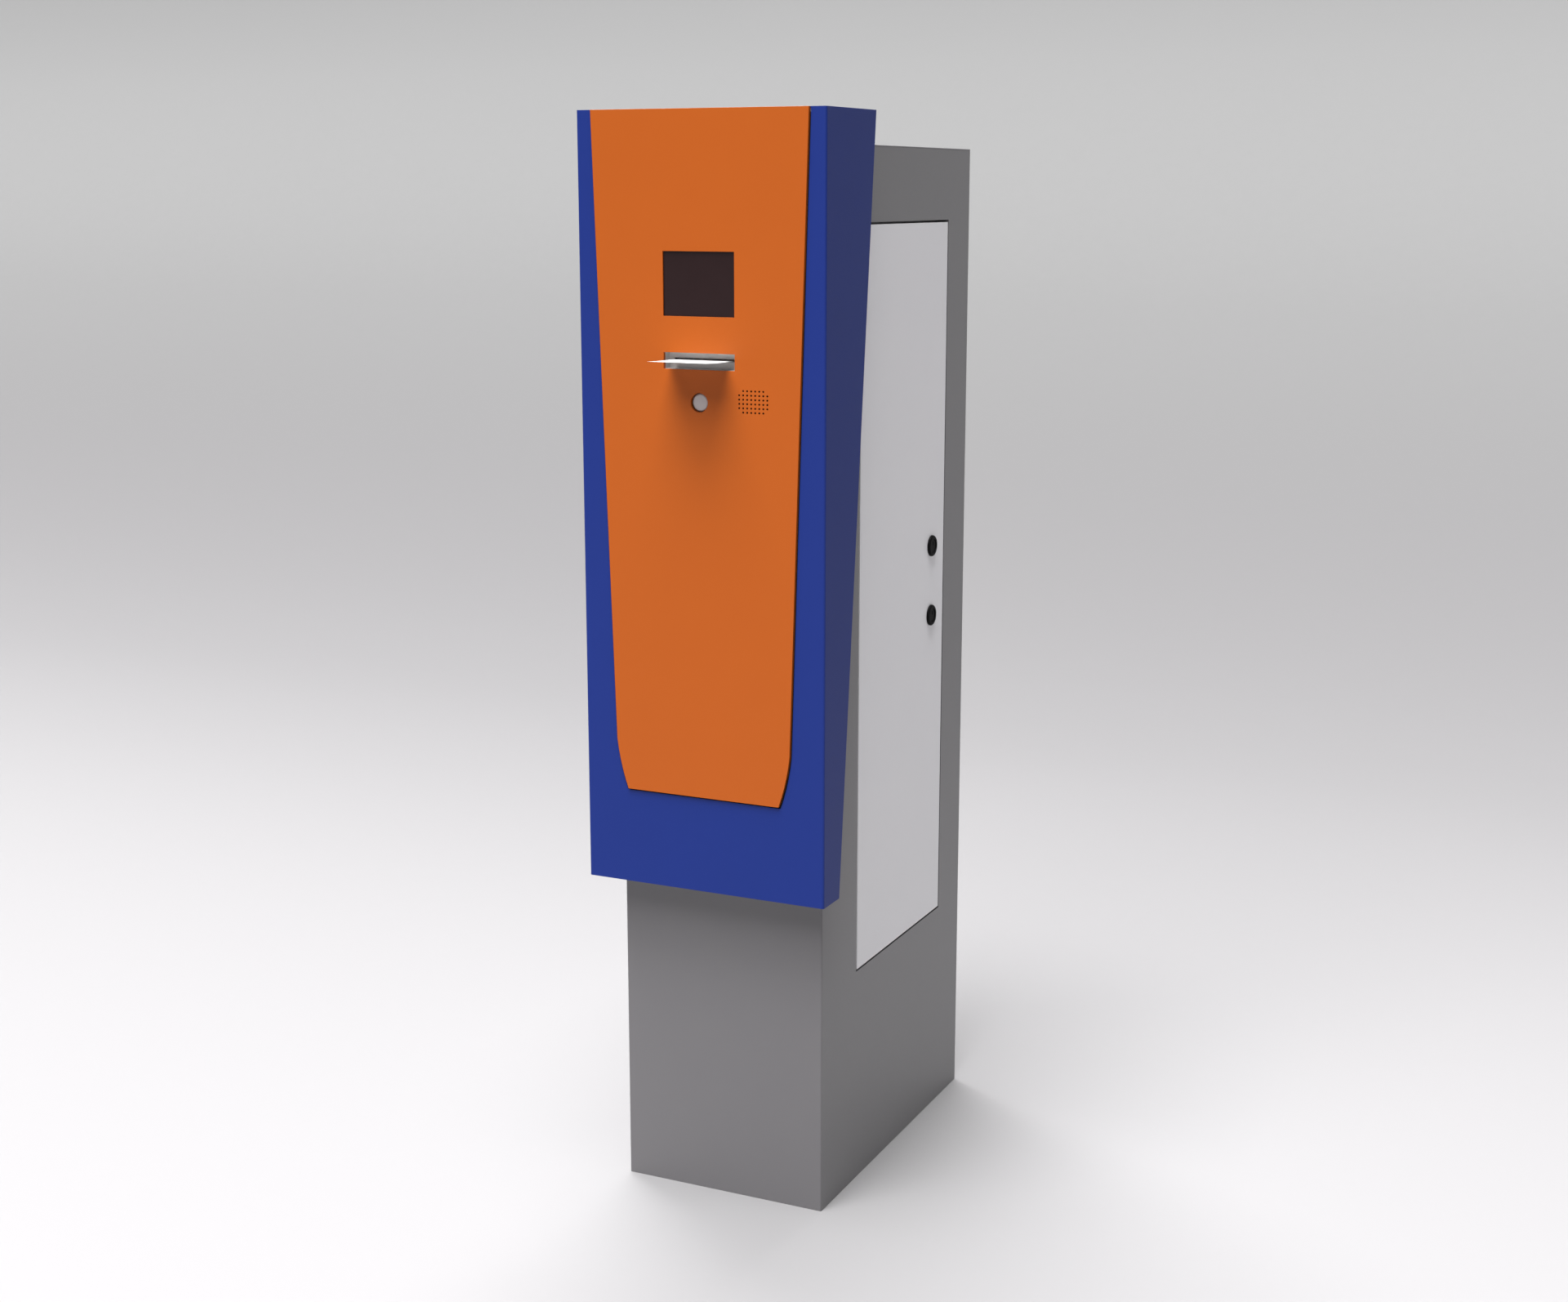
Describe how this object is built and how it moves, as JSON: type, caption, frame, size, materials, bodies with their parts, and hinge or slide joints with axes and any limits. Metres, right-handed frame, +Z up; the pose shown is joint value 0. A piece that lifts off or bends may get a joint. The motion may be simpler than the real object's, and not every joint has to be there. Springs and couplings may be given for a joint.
{
  "type": "ticket vending machine",
  "caption": "Floor-standing parking ticket machine: steel cabinet with locked side door, weather hood, customer panel with screen, push-button, speaker and ticket printer.",
  "frame": {"origin": "centre of the cabinet's footprint on the ground, which is the centre of the four anchor holes", "axes": "+Z up, the customer stands on the -Y side, the service door is on the +X side"},
  "size_m": [0.336, 0.608, 1.41],
  "materials": {
    "cabinet_paint": "matt textured grey polyester powder coat",
    "door_paint": "satin light grey powder coat",
    "hood_paint": "satin blue powder coat",
    "fascia_paint": "satin orange powder coat",
    "gasket_rubber": "black EPDM, matt",
    "zinc_steel": "bright zinc plated sheet and fasteners",
    "screen_glass": "dark tinted cover glass",
    "screen_housing": "black moulded housing",
    "outlet_plate": "light grey painted sheet",
    "button_metal": "satin turned aluminium",
    "black_plastic": "black moulded nylon",
    "lock_black": "black powder-coated zinc die casting",
    "lock_steel": "nickel plated",
    "roller_rubber": "dark grey nitrile rubber on a steel shaft",
    "gear_plastic": "natural acetal",
    "thermal_paper": "smooth white thermal paper",
    "bronze_bush": "sintered bronze",
    "circuit_board": "green solder mask",
    "device_grey": "light grey moulded housing",
    "device_steel": "mill finish casing"
  },
  "bodies": {
    "cabinet": {"cabinet_shell": "cabinet_paint", "back_panel": "cabinet_paint", "top_cover": "cabinet_paint", "base_tray": "zinc_steel", "gland_plate": "zinc_steel", "door_frame": "cabinet_paint", "door_seal": "gasket_rubber", "hinge_pins": "lock_steel", "hood_shell": "hood_paint", "fascia_panel": "fascia_paint", "fascia_gasket": "gasket_rubber", "fascia_frame": "zinc_steel", "hood_rails": "zinc_steel", "hood_bolts": "zinc_steel", "hood_foot_bracket": "zinc_steel", "display_window": "screen_glass", "display_module": "screen_housing", "display_bracket": "zinc_steel", "ticket_outlet": "outlet_plate", "ticket_guides": "zinc_steel", "button_housing": "black_plastic", "button_switch": "black_plastic", "speaker": "black_plastic", "speaker_gasket": "gasket_rubber", "printer_chassis": "zinc_steel", "print_head": "black_plastic", "ticket_cutter": "device_steel", "roll_spindle": "lock_steel", "roll_bracket": "zinc_steel", "paper_web": "thermal_paper", "instrument_shelf": "zinc_steel", "stepper_motor": "black_plastic", "motor_bracket": "zinc_steel", "mounting_plate": "zinc_steel", "din_rail": "lock_steel", "circuit_breaker": "device_grey", "terminal_block": "device_grey", "power_supply": "device_steel", "controller_board": "circuit_board"},
    "door": {"side_door": "door_paint", "door_stiffener": "door_paint", "hinge_bushes": "bronze_bush", "lock_housing_upper": "lock_black", "lock_housing_lower": "lock_black", "lock_nuts": "lock_steel"},
    "upper_lock": {"lock_barrel_upper": "lock_black", "lock_cam_upper": "lock_steel"},
    "lower_lock": {"lock_barrel_lower": "lock_black", "lock_cam_lower": "lock_steel"},
    "button": {"push_button": "button_metal"},
    "ticket": {"ticket": "thermal_paper"},
    "platen": {"platen_roller": "roller_rubber", "platen_gear": "gear_plastic"},
    "feed_roller": {"feed_roller": "roller_rubber", "feed_gear": "gear_plastic"},
    "pinch_roller": {"pinch_roller": "roller_rubber"},
    "idler": {"idler_gear": "gear_plastic"},
    "pinion": {"motor_pinion": "gear_plastic"},
    "paper_roll": {"paper_roll": "thermal_paper"},
    "toggle": {"breaker_toggle": "black_plastic"}
  },
  "joints": [
    {"name": "side_door_hinge", "type": "hinge", "parent": "cabinet", "child": "door", "pos_m": [0.1375, -0.1255, 0.785], "axis": [0, 0, -1], "range_deg": [0, 100]},
    {"name": "upper_lock_turn", "type": "hinge", "parent": "door", "child": "upper_lock", "pos_m": [0.143, 0.118, 0.833], "axis": [1, 0, 0], "range_deg": [0, 90]},
    {"name": "lower_lock_turn", "type": "hinge", "parent": "door", "child": "lower_lock", "pos_m": [0.143, 0.118, 0.7355], "axis": [1, 0, 0], "range_deg": [0, 90]},
    {"name": "button_press", "type": "slide", "parent": "cabinet", "child": "button", "axis": [0, 1, 0], "range_m": [0, 0.003], "stiffness_N_per_m": 400, "springref_m": -0.003},
    {"name": "paper_roll_turn", "type": "hinge", "parent": "cabinet", "child": "paper_roll", "pos_m": [0, -0.055, 1.1614], "axis": [1, 0, 0], "range_deg": [-47, 52]},
    {"name": "platen_turn", "type": "hinge", "parent": "cabinet", "child": "platen", "pos_m": [0, -0.175, 1.1026], "axis": [1, 0, 0], "range_deg": [-330, 330]},
    {"name": "feed_roller_turn", "type": "hinge", "parent": "cabinet", "child": "feed_roller", "pos_m": [0, -0.225, 1.1026], "axis": [1, 0, 0], "range_deg": [-330, 330]},
    {"name": "pinch_roller_turn", "type": "hinge", "parent": "cabinet", "child": "pinch_roller", "pos_m": [0, -0.225, 1.1174], "axis": [1, 0, 0], "range_deg": [-440, 440]},
    {"name": "idler_turn", "type": "hinge", "parent": "cabinet", "child": "idler", "pos_m": [-0.0575, -0.2, 1.1026], "axis": [1, 0, 0], "range_deg": [-225, 225]},
    {"name": "motor_turn", "type": "hinge", "parent": "cabinet", "child": "pinion", "pos_m": [-0.0575, -0.167, 1.08874], "axis": [1, 0, 0], "range_deg": [-550, 550]},
    {"name": "ticket_feed", "type": "slide", "parent": "cabinet", "child": "ticket", "axis": [0, -1, 0], "range_m": [-0.046, 0.042]},
    {"name": "breaker_switch", "type": "hinge", "parent": "cabinet", "child": "toggle", "pos_m": [-0.063, -0.092, 0.6], "axis": [0, 1, 0], "range_deg": [0, 70]}
  ],
  "couplings": [
    {"joint": "platen_turn", "follows": "paper_roll_turn", "ratio": -6.25},
    {"joint": "feed_roller_turn", "follows": "paper_roll_turn", "ratio": -6.25},
    {"joint": "pinch_roller_turn", "follows": "paper_roll_turn", "ratio": 8.3333},
    {"joint": "idler_turn", "follows": "paper_roll_turn", "ratio": 4.1667},
    {"joint": "motor_turn", "follows": "paper_roll_turn", "ratio": 10.417},
    {"joint": "ticket_feed", "follows": "paper_roll_turn", "m_per_rad": -0.05}
  ]
}
